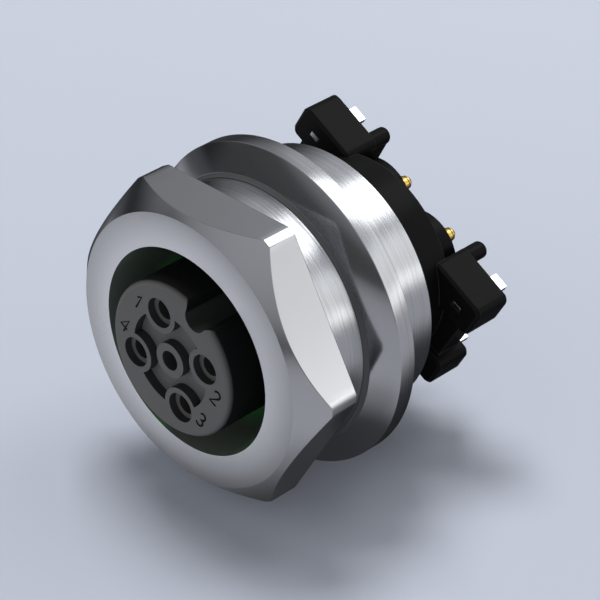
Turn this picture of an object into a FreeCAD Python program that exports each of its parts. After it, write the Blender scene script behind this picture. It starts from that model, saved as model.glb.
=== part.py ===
import FreeCAD, Part
import math
import os

import Sketcher

# Panel-mount M12 socket, five contacts, A-coding.
# Frame: the connector's axis lies along Y, the mating face looks along -Y, +Z is up.
# The origin is on the axis, in the plane of the hexagon's rear face, which seats on the panel.

doc = FreeCAD.newDocument("M12Socket")
sheet = doc.addObject("Spreadsheet::Sheet", "Dims")

driving = [
    # shell, turned from round bar with a milled hexagon
    ("barStep", 1.525, "round bar of the shell and the nut, outside the shank"),
    ("flatStep", 0.5, "flats of the hexagon, outside the shank"),
    ("headLength", 1.67, "cylindrical part of the head, at the corners"),
    ("headBevel", 1.25, "axial length of the bevel on the hexagon's corners"),
    ("lipStep", 0.2, "outer edge of the rolled lip, outside the shank"),
    ("lipRound", 2.3, "radius of the lip's section"),
    ("boreRadius", 5.46, "core of the M12 x 1 thread"),
    ("shellWall", 1.54, "wall of the M14 x 1 shank"),
    ("shankLength", 6.97, "from the panel seat to the rear end"),
    ("endBevel", 0.18, "small bevels on turned ends"),
    # round panel nut and its seal
    ("panelGap", 2.2, "from the panel seat to the nut"),
    ("nutLength", 1.8, "whole nut"),
    ("nutCone", 0.8, "axial length of the nut's conical face"),
    ("runClear", 0.04, "radial clearance of the nut on the shank"),
    ("nutLand", 0.14, "edge of the nut's cone outside its bore"),
    ("grooveWall", 1.0, "wall left outside the groove in the nut"),
    ("sealGrooveLength", 0.7, "axial length of that groove"),
    ("sealLip", 0.56, "how far the seal's lip stands in front of the nut"),
    ("sealSkin", 0.03, "radial clearance round the seal"),
    # insert
    ("wellGap", 1.38, "well for the plug's screw, between the insert and the bore"),
    ("insertProud", 2.33, "insert's face in front of the head's corners"),
    ("insertRound", 0.35, "rounded edge of the insert's face"),
    ("insertEnd", 5.2, "rear face of the insert behind the panel seat"),
    ("flangeClear", 0.1, "radial clearance of the flange in the bore"),
    ("flangeLength", 0.7, "insert's flange"),
    ("wellSealLength", 0.75, "green seal at the bottom of the well"),
    ("sealClear", 0.04, "radial clearance of the seals in the bore"),
    ("contactCircle", 5.0, "pitch diameter of contacts 1 to 4"),
    ("keyTurn", 30.0, "turn of the coding key from the vertical"),
    ("mouthRadius", 0.78, "countersunk mouth of an outer contact hole"),
    ("mouthDepth", 0.42, "depth of that mouth"),
    ("guideRadius", 0.52, "guide hole for the 1 mm pin"),
    ("guideLength", 0.78, "length of the guide"),
    ("chamberClear", 0.06, "radial clearance round a sleeve"),
    ("collarRadius", 1.07, "raised collar round an outer contact hole"),
    ("middleCollar", 0.93, "raised collar round the middle hole"),
    ("pocketRadius", 2.52, "recess between the collars"),
    ("pocketDepth", 0.5, "depth of the recess"),
    ("keyRadius", 0.65, "half width of the coding slot"),
    ("keyDepth", 1.1, "depth of the coding slot"),
    ("keyShoulder", 0.4, "rounded shoulders of the slot"),
    # contacts
    ("socketRadius", 0.7, "turned socket"),
    ("sleeveWall", 0.12, "steel sleeve round the socket"),
    ("sleeveLength", 2.6, "steel sleeve"),
    ("pinBore", 0.5, "bore for the 1 mm pin"),
    ("pinDepth", 5.2, "depth of that bore"),
    ("stemRadius", 0.66, "stem through the retainer, the mat and the carrier"),
    ("tailRadius", 0.4, "solder tail"),
    ("tailEnd", 13.3, "tip of the tails behind the panel seat"),
    ("tailBevel", 0.2, "bevelled tip of a tail"),
    # retainer, sealing mat and rear carrier
    ("retainerRadius", 3.7, "disc that locks the contacts"),
    ("retainerLength", 0.8, "thickness of that disc"),
    ("matRadius", 4.1, "soft mat behind the retainer"),
    ("matLength", 0.9, "thickness of the mat"),
    ("carrierClear", 0.06, "radial clearance of the carrier in the bore"),
    ("carrierEnd", 9.8, "rear face of the carrier's barrel"),
    ("boardPlane", 11.3, "feet that stand on the circuit board"),
    ("ringSection", 0.5, "square section of the carrier's sealing ring"),
    ("ringPlace", 5.85, "sealing ring behind the panel seat"),
    ("ringSkin", 0.02, "clearance round the sealing ring"),
    ("lobeRadius", 2.1, "lobe round a tail"),
    ("lobeRoot", 0.5, "how far a lobe starts inside the barrel"),
    ("lugFront", 9.1, "front face of the lugs"),
    ("lugOuter", 6.95, "outer side of the lugs"),
    ("lugInner", 3.4, "inner end of the upper lugs"),
    ("lugTop", 4.25, "top of the upper lugs"),
    ("lugBottom", 2.2, "underside of the upper lugs"),
    ("heelInner", 4.2, "inner end of the lower lugs"),
    ("heelTop", 0.65, "lower lugs, below the axis"),
    ("heelBottom", 2.45, "lower lugs, below the axis"),
    ("lugRound", 0.4, "rounded long edges of the lugs"),
    ("lugBevel", 0.14, "bevels on the lugs' front and rear"),
    ("webOuter", 6.3, "web between the lugs"),
    ("webInner", 4.9, "web between the lugs"),
    ("webFront", 9.5, "front of that web"),
    ("pegRadius", 0.45, "locating peg"),
    ("pegPlace", 3.85, "locating peg beside the axis"),
    ("pegEnd", 12.35, "tip of the pegs"),
    ("pegBevel", 0.2, "tapered tip of a peg"),
    # hold-down pins, stamped from sheet
    ("clipThick", 0.28, "sheet"),
    ("clipWide", 0.9, "leg behind the lug"),
    ("clipNarrow", 0.55, "stem through the lug"),
    ("clipStep", 10.5, "where the stem widens"),
    ("clipEnd", 12.4, "tip of the legs"),
    ("clipBevel", 0.15, "bevel on the tip"),
    ("clipPlace", 5.65, "pins beside the axis"),
    ("clipHigh", 3.25, "upper pins above the axis"),
    ("clipLow", 1.5, "lower pins below the axis"),
]
for row, (alias, value, note) in enumerate(driving, start=1):
    sheet.set("A%d" % row, alias)
    sheet.set("B%d" % row, repr(value))
    sheet.set("C%d" % row, note)
    sheet.setAlias("B%d" % row, alias)
doc.recompute()


class Size:
    """A length with its value and the expression that binds it to the sheet."""

    def __init__(self, value, text):
        self.value = value
        self.text = text

    @staticmethod
    def of(other):
        if isinstance(other, Size):
            return other
        return Size(float(other), repr(float(other)))

    def __add__(self, other):
        other = Size.of(other)
        return Size(self.value + other.value, "(%s + %s)" % (self.text, other.text))

    def __sub__(self, other):
        other = Size.of(other)
        return Size(self.value - other.value, "(%s - %s)" % (self.text, other.text))

    def __mul__(self, other):
        other = Size.of(other)
        return Size(self.value * other.value, "(%s * %s)" % (self.text, other.text))

    def __truediv__(self, other):
        other = Size.of(other)
        return Size(self.value / other.value, "(%s / %s)" % (self.text, other.text))

    def __neg__(self):
        return Size(-self.value, "(0 - %s)" % self.text)


def size(alias):
    return Size(float(sheet.get(alias)), "Dims.%s" % alias)


def root(length):
    return Size(math.sqrt(length.value), "sqrt(%s)" % length.text)


d = {alias: size(alias) for alias, _, _ in driving}
zero = Size(0.0, "0")

# places along the axis
headFront = -(d["headLength"] + d["headBevel"])
insertFace = -(d["headLength"] + d["insertProud"])
nutFront = d["panelGap"]
nutRear = nutFront + d["nutLength"]
flangeFront = d["insertEnd"] - d["flangeLength"]
socketFront = insertFace + d["mouthDepth"] + d["guideLength"]
insertRadius = d["boreRadius"] - d["wellGap"]
shankRadius = d["boreRadius"] + d["shellWall"]
barRadius = shankRadius + d["barStep"]
lipRadius = shankRadius + d["lipStep"]
acrossFlats = (shankRadius + d["flatStep"]) * 2
sleeveRadius = d["socketRadius"] + d["sleeveWall"]
chamberRadius = sleeveRadius + d["chamberClear"]
flangeRadius = d["boreRadius"] - d["flangeClear"]
sealRadius = d["boreRadius"] - d["sealClear"]
carrierRadius = d["boreRadius"] - d["carrierClear"]
retainerFront = d["insertEnd"] - d["retainerLength"]
matRear = d["insertEnd"] + d["matLength"]
pitch = d["contactCircle"] / (2 * math.sqrt(2))
contactPlaces = {
    1: (-pitch, pitch),
    2: (pitch, pitch),
    3: (pitch, -pitch),
    4: (-pitch, -pitch),
    5: (zero, zero),
}
towardsRear = FreeCAD.Rotation(FreeCAD.Vector(1, 0, 0), -90)
aboutY = FreeCAD.Vector(0, 1, 0)


def bind(obj, prop, length):
    obj.setExpression(prop, length.text)


def coordinate(sketch, geo, pos, x, y):
    """Fix a point of the sketch at x, y from its origin."""
    for kind, value in (("DistanceX", x), ("DistanceY", y)):
        if value is zero:
            line = -2 if kind == "DistanceX" else -1
            sketch.addConstraint(Sketcher.Constraint("PointOnObject", geo, pos, line))
            continue
        index = sketch.addConstraint(Sketcher.Constraint(kind, -1, 1, geo, pos, value.value))
        sketch.setExpression("Constraints[%d]" % index, value.text)


def outlineSketch(body, plane, outline):
    """Closed outline: each row is x, y and, for an arc that ends there, its radius and side."""
    origin = [f for f in body.Origin.OriginFeatures if f.Role == plane][0]
    sketch = body.newObject("Sketcher::SketchObject", "Outline")
    sketch.AttachmentSupport = [(origin, "")]
    sketch.MapMode = "FlatFace"
    ends = []
    for index, row in enumerate(outline):
        before = outline[index - 1]
        a = FreeCAD.Vector(before[0].value, before[1].value, 0)
        b = FreeCAD.Vector(row[0].value, row[1].value, 0)
        if len(row) == 2:
            geo = sketch.addGeometry(Part.LineSegment(a, b), False)
            ends.append((geo, 1, 2))
            continue
        radius, side = row[2], row[3]
        chord = b - a
        half = chord.Length / 2
        normal = FreeCAD.Vector(-chord.y, chord.x, 0).normalize()
        centre = (a + b) / 2 + normal * side * math.sqrt(max(radius.value ** 2 - half ** 2, 0.0))
        angles = [math.atan2(point.y - centre.y, point.x - centre.x) for point in (a, b)]
        if side < 0:
            angles.reverse()
        circle = Part.Circle(centre, FreeCAD.Vector(0, 0, 1), radius.value)
        geo = sketch.addGeometry(Part.ArcOfCircle(circle, *angles), False)
        rule = sketch.addConstraint(Sketcher.Constraint("Radius", geo, radius.value))
        sketch.setExpression("Constraints[%d]" % rule, radius.text)
        ends.append((geo, 1, 2) if side > 0 else (geo, 2, 1))
    for index, (geo, first, last) in enumerate(ends):
        following = ends[(index + 1) % len(ends)]
        sketch.addConstraint(Sketcher.Constraint("Coincident", geo, last, following[0], following[1]))
        coordinate(sketch, geo, last, outline[index][0], outline[index][1])
    return sketch


def turned(label, outline):
    """Body of revolution about Y, from an outline of radius and place along the axis."""
    body = doc.addObject("PartDesign::Body", label)
    body.Label = label
    sketch = outlineSketch(body, "XY_Plane", outline)
    feature = body.newObject("PartDesign::Revolution", "Turning")
    feature.Profile = sketch
    feature.ReferenceAxis = (sketch, ["V_Axis"])
    feature.Angle = 360
    return body


def block(label, x0, x1, z0, z1, y0, y1, corner=None, bevel=None):
    """Moulded block between two places along the axis, with rounded corners and bevelled ends."""
    body = doc.addObject("PartDesign::Body", label)
    body.Label = label
    if corner is None:
        outline = [(x0, z0), (x1, z0), (x1, z1), (x0, z1)]
    else:
        outline = [
            (x0 + corner, z0), (x1 - corner, z0), (x1, z0 + corner, corner, 1),
            (x1, z1 - corner), (x1 - corner, z1, corner, 1),
            (x0 + corner, z1), (x0, z1 - corner, corner, 1),
            (x0, z0 + corner), (x0 + corner, z0, corner, 1),
        ][1:]
    sketch = outlineSketch(body, "XZ_Plane", outline)
    bind(sketch, "AttachmentOffset.Base.z", -y0)
    # the sketch plane looks along -Y, so the pad is reversed to run towards the rear
    pad = body.newObject("PartDesign::Pad", "Moulding")
    pad.Profile = sketch
    pad.Reversed = True
    bind(pad, "Length", y1 - y0)
    if bevel is not None:
        doc.recompute()
        ends = ["Face%d" % (index + 1) for index, face in enumerate(pad.Shape.Faces)
                if abs(face.BoundBox.YLength) < 1e-6]
        chamfer = body.newObject("PartDesign::Chamfer", "Ends")
        chamfer.Base = (pad, ends)
        bind(chamfer, "Size", bevel)
    return body


def rod(name, x, z, y, radius, length):
    """Plain cylinder along +Y."""
    obj = doc.addObject("Part::Cylinder", name)
    obj.Placement = FreeCAD.Placement(FreeCAD.Vector(0, 0, 0), towardsRear)
    bind(obj, "Radius", radius)
    bind(obj, "Height", length)
    for axis, value in (("x", x), ("y", y), ("z", z)):
        bind(obj, "Placement.Base.%s" % axis, value)
    return obj


def fused(name, shapes):
    obj = doc.addObject("Part::MultiFuse", name)
    obj.Shapes = shapes
    return obj


def cut(label, base, tool):
    obj = doc.addObject("Part::Cut", label)
    obj.Label = label
    obj.Base = base
    obj.Tool = tool
    return obj


def mirrored(name, source):
    obj = doc.addObject("Part::Mirroring", name)
    obj.Source = source
    obj.Base = FreeCAD.Vector(0, 0, 0)
    obj.Normal = FreeCAD.Vector(1, 0, 0)
    return obj


nodes = []


def keep(obj, withKey=False):
    """Count a piece as a part of the connector, turned with the coding key where it is keyed."""
    if withKey:
        obj.Placement = FreeCAD.Placement(FreeCAD.Vector(0, 0, 0), FreeCAD.Rotation(aboutY, 1))
        bind(obj, "Placement.Rotation.Angle", d["keyTurn"])
    nodes.append(obj)
    return obj


# Shell: lip, bevelled head, plain shank and the bore right through.
lipFoot = headFront - d["runClear"] * 2
headTurning = turned("head_turning", [
    (d["boreRadius"], zero),
    (d["boreRadius"], lipFoot),
    (lipRadius, headFront, d["lipRound"], 1),
    (barRadius, -d["headLength"]),
    (barRadius, zero),
])
hexBar = doc.addObject("Part::Prism", "hex_bar")
hexBar.Polygon = 6
hexBar.Placement = FreeCAD.Placement(FreeCAD.Vector(0, 0, 0), towardsRear)
bind(hexBar, "Circumradius", acrossFlats / math.sqrt(3))
bind(hexBar, "Height", -insertFace)
bind(hexBar, "Placement.Base.y", insertFace)
head = doc.addObject("Part::Common", "hex_head")
head.Base = headTurning
head.Tool = hexBar
shank = turned("shank", [
    (d["boreRadius"], zero),
    (shankRadius, zero),
    (shankRadius, d["shankLength"] - d["endBevel"]),
    (shankRadius - d["endBevel"], d["shankLength"]),
    (d["boreRadius"], d["shankLength"]),
])
shell = doc.addObject("Part::Fuse", "shell")
shell.Label = "shell"
shell.Base = head
shell.Tool = shank
shell.Refine = True
keep(shell)

# Round panel nut with a conical face and a groove for its seal.
nutBore = shankRadius + d["runClear"]
coneEdge = nutBore + d["nutLand"]
grooveFront = nutFront + d["nutLength"] / 4
grooveRear = grooveFront + d["sealGrooveLength"]
grooveFloor = barRadius - d["grooveWall"]
keep(turned("panel_nut", [
    (coneEdge, nutFront),
    (barRadius, nutFront + d["nutCone"]),
    (barRadius, nutRear - d["endBevel"]),
    (barRadius - d["endBevel"], nutRear),
    (nutBore, nutRear),
    (nutBore, grooveRear),
    (grooveFloor, grooveRear),
    (grooveFloor, grooveFront),
    (coneEdge, grooveFront),
]))

# Nut seal: a ring in the nut's groove with a thin lip that runs forward along the shank.
skin = d["sealSkin"]
keep(turned("nut_seal", [
    (shankRadius + skin, nutFront - d["sealLip"]),
    (coneEdge - skin, nutFront),
    (coneEdge - skin, grooveFront + skin),
    (grooveFloor - skin, grooveFront + skin),
    (grooveFloor - skin, grooveRear - skin),
    (shankRadius + skin, grooveRear - skin),
]))

# Contact insert: rounded face, flange at the rear, recess for the retainer.
insertTurning = turned("insert_turning", [
    (zero, insertFace),
    (insertRadius - d["insertRound"], insertFace),
    (insertRadius, insertFace + d["insertRound"], d["insertRound"], 1),
    (insertRadius, flangeFront),
    (flangeRadius, flangeFront),
    (flangeRadius, d["insertEnd"]),
    (d["retainerRadius"], d["insertEnd"]),
    (d["retainerRadius"], retainerFront),
    (zero, retainerFront),
])
insertTools = []
for number, (x, z) in contactPlaces.items():
    through = d["insertEnd"] - insertFace
    insertTools.append(rod("guide_%d" % number, x, z, insertFace, d["guideRadius"], through))
    insertTools.append(rod("chamber_%d" % number, x, z, socketFront, chamberRadius, through))
    if number != 5:
        insertTools.append(rod("mouth_%d" % number, x, z, insertFace, d["mouthRadius"], d["mouthDepth"]))
collars = fused("collars", [
    rod("collar_%d" % number, x, z, insertFace,
        d["middleCollar"] if number == 5 else d["collarRadius"], d["pocketDepth"])
    for number, (x, z) in contactPlaces.items()
])
pocketDisc = rod("pocket_disc", zero, zero, insertFace, d["pocketRadius"], d["pocketDepth"])
insertTools.append(cut("pocket", pocketDisc, collars))
keyCentre = insertRadius - d["keyDepth"] + d["keyRadius"]
keyLength = flangeFront - insertFace
insertTools.append(rod("key_round", zero, keyCentre, insertFace, d["keyRadius"], keyLength))
insertTools.append(block("key_slot", -d["keyRadius"], d["keyRadius"], keyCentre,
                         insertRadius * 1.2, insertFace, flangeFront))
shoulderPlace = d["keyRadius"] + d["keyShoulder"]
shoulderHigh = root(insertRadius * insertRadius - shoulderPlace * shoulderPlace) - d["keyShoulder"]
shoulderBlock = block("key_mouth", -shoulderPlace, shoulderPlace, shoulderHigh,
                      insertRadius * 1.2, insertFace, flangeFront)
shoulders = fused("key_shoulders", [
    rod("key_shoulder_%s" % side, place, shoulderHigh, insertFace, d["keyShoulder"], keyLength)
    for side, place in (("left", -shoulderPlace), ("right", shoulderPlace))
])
insertTools.append(cut("key_flare", shoulderBlock, shoulders))
keep(cut("insert", insertTurning, fused("insert_tools", insertTools)), withKey=True)

# Green seal round the insert at the bottom of the well.
sealFront = flangeFront - d["wellSealLength"]
keep(turned("well_seal", [
    (insertRadius, sealFront + d["endBevel"]),
    (insertRadius + d["endBevel"], sealFront),
    (sealRadius - d["endBevel"], sealFront),
    (sealRadius, sealFront + d["endBevel"]),
    (sealRadius, flangeFront),
    (insertRadius, flangeFront),
]))

# Contacts, each with its steel sleeve.
for number, (x, z) in contactPlaces.items():
    contact = turned("contact_%d" % number, [
        (d["pinBore"], socketFront),
        (d["socketRadius"], socketFront),
        (d["socketRadius"], retainerFront),
        (d["stemRadius"], retainerFront),
        (d["stemRadius"], d["boardPlane"]),
        (d["tailRadius"], d["boardPlane"]),
        (d["tailRadius"], d["tailEnd"] - d["tailBevel"]),
        (d["tailRadius"] - d["tailBevel"], d["tailEnd"]),
        (zero, d["tailEnd"]),
        (zero, socketFront + d["pinDepth"]),
        (d["pinBore"], socketFront + d["pinDepth"] - d["pinBore"] / 2),
    ])
    sleeve = turned("contact_sleeve_%d" % number, [
        (d["socketRadius"], socketFront),
        (sleeveRadius, socketFront),
        (sleeveRadius, socketFront + d["sleeveLength"]),
        (d["socketRadius"], socketFront + d["sleeveLength"]),
    ])
    turn = d["keyTurn"].text
    for piece in (contact, sleeve):
        bindX = "%s * cos(%s) + %s * sin(%s)" % (x.text, turn, z.text, turn)
        bindZ = "%s * cos(%s) - %s * sin(%s)" % (z.text, turn, x.text, turn)
        piece.setExpression("Placement.Base.x", bindX)
        piece.setExpression("Placement.Base.z", bindZ)
        keep(piece)

# Retainer disc and sealing mat, both pierced by the five stems.
def piercing(name, front, rear):
    return fused(name, [
        rod("%s_%d" % (name, number), x, z, front, d["stemRadius"], rear - front)
        for number, (x, z) in contactPlaces.items()
    ])


retainerDisc = rod("retainer_disc", zero, zero, retainerFront, d["retainerRadius"], d["retainerLength"])
keep(cut("contact_retainer", retainerDisc, piercing("retainer_holes", retainerFront, d["insertEnd"])),
     withKey=True)
matDisc = rod("mat_disc", zero, zero, d["insertEnd"], d["matRadius"], d["matLength"])
keep(cut("sealing_mat", matDisc, piercing("mat_holes", d["insertEnd"], matRear)), withKey=True)

# Rear carrier: barrel in the bore, lobes round the tails, lugs that stand on the board.
ringFloor = sealRadius - d["ringSection"] - d["ringSkin"]
ringFront = d["ringPlace"] - d["ringSkin"]
ringRear = d["ringPlace"] + d["ringSection"] + d["ringSkin"]
barrel = turned("carrier_barrel", [
    (zero, matRear),
    (d["matRadius"], matRear),
    (d["matRadius"], d["insertEnd"]),
    (carrierRadius, d["insertEnd"]),
    (carrierRadius, ringFront),
    (ringFloor, ringFront),
    (ringFloor, ringRear),
    (carrierRadius, ringRear),
    (carrierRadius, d["carrierEnd"]),
    (zero, d["carrierEnd"]),
])
lobeFront = d["carrierEnd"] - d["lobeRoot"]
lobes = [rod("lobe_%d" % number, x, z, lobeFront, d["lobeRadius"], d["boardPlane"] - lobeFront)
         for number, (x, z) in contactPlaces.items()]
upperLug = block("upper_lug", d["lugInner"], d["lugOuter"], d["lugBottom"], d["lugTop"],
                 d["lugFront"], d["boardPlane"], d["lugRound"], d["lugBevel"])
lowerLug = block("lower_lug", d["heelInner"], d["lugOuter"], -d["heelBottom"], -d["heelTop"],
                 d["lugFront"], d["boardPlane"], d["lugRound"], d["lugBevel"])
web = block("lug_web", d["webInner"], d["webOuter"], -d["heelBottom"] + d["lugRound"],
            d["lugTop"] - d["lugRound"], d["webFront"], d["boardPlane"] - d["lugRound"])
peg = turned("peg", [
    (zero, d["lugFront"] + d["lugRound"]),
    (d["pegRadius"], d["lugFront"] + d["lugRound"]),
    (d["pegRadius"], d["pegEnd"] - d["pegBevel"]),
    (d["pegRadius"] - d["pegBevel"], d["pegEnd"], d["pegBevel"], 1),
    (zero, d["pegEnd"]),
])
bind(peg, "Placement.Base.x", d["pegPlace"])
bind(peg, "Placement.Base.z", d["lugTop"] - d["pegRadius"])
rightSide = fused("right_side", [upperLug, lowerLug, web, peg])
leftSide = mirrored("left_side", rightSide)
carrierBlank = fused("carrier_blank", [barrel] + lobes + [rightSide, leftSide])


def holdPin(label, side, z):
    """Stamped pin: a narrow stem through the lug and a wider leg into the board."""
    centre = d["clipPlace"] if side > 0 else -d["clipPlace"]
    stem = d["clipNarrow"] / 2
    leg = d["clipWide"] / 2
    body = doc.addObject("PartDesign::Body", label)
    body.Label = label
    sketch = outlineSketch(body, "XY_Plane", [
        (centre - stem, d["lugFront"]),
        (centre + stem, d["lugFront"]),
        (centre + stem, d["clipStep"]),
        (centre + leg, d["clipStep"]),
        (centre + leg, d["clipEnd"] - d["clipBevel"]),
        (centre + leg - d["clipBevel"], d["clipEnd"]),
        (centre - leg + d["clipBevel"], d["clipEnd"]),
        (centre - leg, d["clipEnd"] - d["clipBevel"]),
        (centre - leg, d["clipStep"]),
        (centre - stem, d["clipStep"]),
    ])
    bind(sketch, "AttachmentOffset.Base.z", z - d["clipThick"] / 2)
    pad = body.newObject("PartDesign::Pad", "Stamping")
    pad.Profile = sketch
    bind(pad, "Length", d["clipThick"])
    return body


pinSeats = [
    (1, -1, d["clipHigh"]),
    (2, 1, d["clipHigh"]),
    (3, 1, -d["clipLow"]),
    (4, -1, -d["clipLow"]),
]
pinSlots = [holdPin("pin_slot_%d" % number, side, z) for number, side, z in pinSeats]
carrierTools = pinSlots + [piercing("carrier_holes", matRear, d["boardPlane"])]
keep(cut("carrier", carrierBlank, fused("carrier_tools", carrierTools)), withKey=True)
for number, side, z in pinSeats:
    keep(holdPin("hold_pin_%d" % number, side, z), withKey=True)

# Sealing ring in the carrier's groove.
keep(turned("carrier_seal", [
    (sealRadius - d["ringSection"], d["ringPlace"]),
    (sealRadius, d["ringPlace"]),
    (sealRadius, d["ringPlace"] + d["ringSection"]),
    (sealRadius - d["ringSection"], d["ringPlace"] + d["ringSection"]),
]))

doc.recompute()

faults = [obj.Name for obj in doc.Objects if "Invalid" in obj.State or "Error" in obj.State]
if faults:
    raise RuntimeError("objects not computed: %s" % faults)
for node in nodes:
    shape = node.Shape
    if shape.isNull() or not shape.isValid() or len(shape.Solids) != 1:
        raise RuntimeError("%s: null, invalid or not one solid" % node.Label)

os.makedirs("parts", exist_ok=True)
for node in nodes:
    node.Shape.exportStep("parts/%s.step" % node.Label)
    box = node.Shape.BoundBox
    print("%-20s volume %9.3f  y %7.2f .. %6.2f  radius %5.2f" % (
        node.Label, node.Shape.Volume, box.YMin, box.YMax, box.XLength / 2))
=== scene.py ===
import bpy
import bmesh
import math
from mathutils import Matrix, Vector


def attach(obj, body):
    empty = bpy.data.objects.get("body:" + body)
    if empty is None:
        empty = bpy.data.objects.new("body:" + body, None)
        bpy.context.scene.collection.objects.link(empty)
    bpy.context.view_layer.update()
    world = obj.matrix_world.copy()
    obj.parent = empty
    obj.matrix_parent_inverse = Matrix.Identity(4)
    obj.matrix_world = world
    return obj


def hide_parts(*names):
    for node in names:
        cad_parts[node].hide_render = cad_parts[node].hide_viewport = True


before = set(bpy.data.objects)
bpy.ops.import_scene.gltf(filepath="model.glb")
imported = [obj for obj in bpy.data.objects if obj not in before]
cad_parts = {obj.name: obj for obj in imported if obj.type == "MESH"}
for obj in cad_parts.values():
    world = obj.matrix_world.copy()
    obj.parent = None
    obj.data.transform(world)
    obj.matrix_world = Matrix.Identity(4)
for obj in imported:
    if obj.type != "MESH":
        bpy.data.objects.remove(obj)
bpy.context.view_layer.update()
mm = 0.001
print("frame loaded:", len(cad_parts), "CAD nodes")


# small helpers for node trees and meshes

def addNode(tree, kind, settings=None, **values):
    node = tree.nodes.new(kind)
    for name, value in (settings or {}).items():
        setattr(node, name, value)
    for name, value in values.items():
        node.inputs[name.replace("_", " ")].default_value = value
    return node


def wire(tree, source, target, output=0, into=0):
    tree.links.new(source.outputs[output], target.inputs[into])


def mathNode(tree, operation, first, second=None, third=None):
    node = addNode(tree, "ShaderNodeMath", {"operation": operation})
    for index, value in enumerate((first, second, third)):
        if value is None:
            continue
        if isinstance(value, (int, float)):
            node.inputs[index].default_value = value
        else:
            tree.links.new(value, node.inputs[index])
    return node.outputs[0]


def newGroup(name, inputs, outputs):
    group = bpy.data.node_groups.new(name, "ShaderNodeTree")
    for label, value in inputs.items():
        socket = group.interface.new_socket(label, in_out="INPUT", socket_type="NodeSocketFloat")
        socket.default_value = value
    for label, kind in outputs.items():
        group.interface.new_socket(label, in_out="OUTPUT", socket_type=kind)
    return group, group.nodes.new("NodeGroupInput"), group.nodes.new("NodeGroupOutput")


def placeGroup(tree, group, **values):
    node = tree.nodes.new("ShaderNodeGroup")
    node.node_tree = group
    for name, value in values.items():
        node.inputs[name].default_value = value
    return node


def rampNode(tree, source, stops):
    node = addNode(tree, "ShaderNodeValToRGB")
    ramp = node.color_ramp
    while len(ramp.elements) < len(stops):
        ramp.elements.new(0.5)
    for element, (place, colour) in zip(ramp.elements, stops):
        element.position = place
        element.color = (*colour, 1.0)
    tree.links.new(source, node.inputs[0])
    return node.outputs[0]


def scaleNode(tree, source, low, high):
    node = addNode(tree, "ShaderNodeMapRange")
    node.inputs["To Min"].default_value = low
    node.inputs["To Max"].default_value = high
    tree.links.new(source, node.inputs["Value"])
    return node.outputs[0]


def blendColours(tree, share, first, second):
    # colours may be sockets or plain triples
    node = addNode(tree, "ShaderNodeMix", {"data_type": "RGBA"})
    tree.links.new(share, node.inputs[0])
    ends = [socket for socket in node.inputs if socket.type == "RGBA"]
    for socket, value in zip(ends, (first, second)):
        if isinstance(value, tuple):
            socket.default_value = (*value, 1.0)
        else:
            tree.links.new(value, socket)
    return [socket for socket in node.outputs if socket.type == "RGBA"][0]


def newMaterial(name, **values):
    material = bpy.data.materials.new(name)
    material.use_nodes = True
    tree = material.node_tree
    shader = tree.nodes["Principled BSDF"]
    for label, value in values.items():
        shader.inputs[label.replace("_", " ")].default_value = value
    material.diffuse_color = shader.inputs["Base Color"].default_value
    return material, tree, shader


def bumpFrom(tree, shader, height, strength, distance, normal=None):
    bump = addNode(tree, "ShaderNodeBump", Strength=strength, Distance=distance)
    tree.links.new(height, bump.inputs["Height"])
    if normal is not None:
        tree.links.new(normal, bump.inputs["Normal"])
    tree.links.new(bump.outputs["Normal"], shader.inputs["Normal"])


# shared surface effects

effectSizes = {
    "broadShare": 0.16, "lineDetail": 3.0, "lineRoughness": 0.6, "axisGuard": 0.00001,
    "patchShare": 0.06, "grainDetail": 4.0, "patchDetail": 2.0, "grainRoughness": 0.55,
    "edgeSamples": 6, "edgeGain": 4.0,
}


def buildTurnedGrain():
    # fine lines left by turning about the Y axis: quick along the axis and the radius, slow around
    s = effectSizes
    group, start, end = newGroup(
        "turnedGrain", {"lines": 20.0, "around": 1.0},
        {"fine": "NodeSocketFloat", "broad": "NodeSocketFloat", "radius": "NodeSocketFloat"})
    place = addNode(group, "ShaderNodeTexCoord")
    split = addNode(group, "ShaderNodeSeparateXYZ")
    wire(group, place, split, "Object")
    x, y, z = split.outputs
    radius = mathNode(group, "SQRT", mathNode(
        group, "ADD", mathNode(group, "MULTIPLY", x, x), mathNode(group, "MULTIPLY", z, z)))
    radius = mathNode(group, "MAXIMUM", radius, s["axisGuard"])  # so nothing is divided by zero
    group.links.new(radius, end.inputs["radius"])
    along = mathNode(group, "MULTIPLY", mathNode(group, "ADD", y, radius), 1.0 / mm)
    for label, share in (("fine", 1.0), ("broad", s["broadShare"])):
        join = addNode(group, "ShaderNodeCombineXYZ")
        for index, part in enumerate((x, z)):
            turnShare = mathNode(group, "DIVIDE", part, radius)
            group.links.new(mathNode(group, "MULTIPLY", turnShare, start.outputs["around"]),
                            join.inputs[index])
        lineShare = mathNode(group, "MULTIPLY", start.outputs["lines"], share)
        group.links.new(mathNode(group, "MULTIPLY", along, lineShare), join.inputs[2])
        noise = addNode(group, "ShaderNodeTexNoise", Scale=1.0, Detail=s["lineDetail"],
                        Roughness=s["lineRoughness"])
        wire(group, join, noise, 0, "Vector")
        wire(group, noise, end, "Fac", label)
    return group


def buildMouldGrain():
    # even spark-eroded texture of moulded plastic, with slow patches of gloss
    s = effectSizes
    group, start, end = newGroup(
        "mouldGrain", {"size": 6000.0},
        {"grain": "NodeSocketFloat", "patches": "NodeSocketFloat"})
    place = addNode(group, "ShaderNodeTexCoord")
    for label, share, detail in (("grain", 1.0, s["grainDetail"]),
                                 ("patches", s["patchShare"], s["patchDetail"])):
        noise = addNode(group, "ShaderNodeTexNoise", Detail=detail, Roughness=s["grainRoughness"])
        wire(group, place, noise, "Object", "Vector")
        group.links.new(mathNode(group, "MULTIPLY", start.outputs["size"], share), noise.inputs["Scale"])
        wire(group, noise, end, "Fac", label)
    return group


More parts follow.
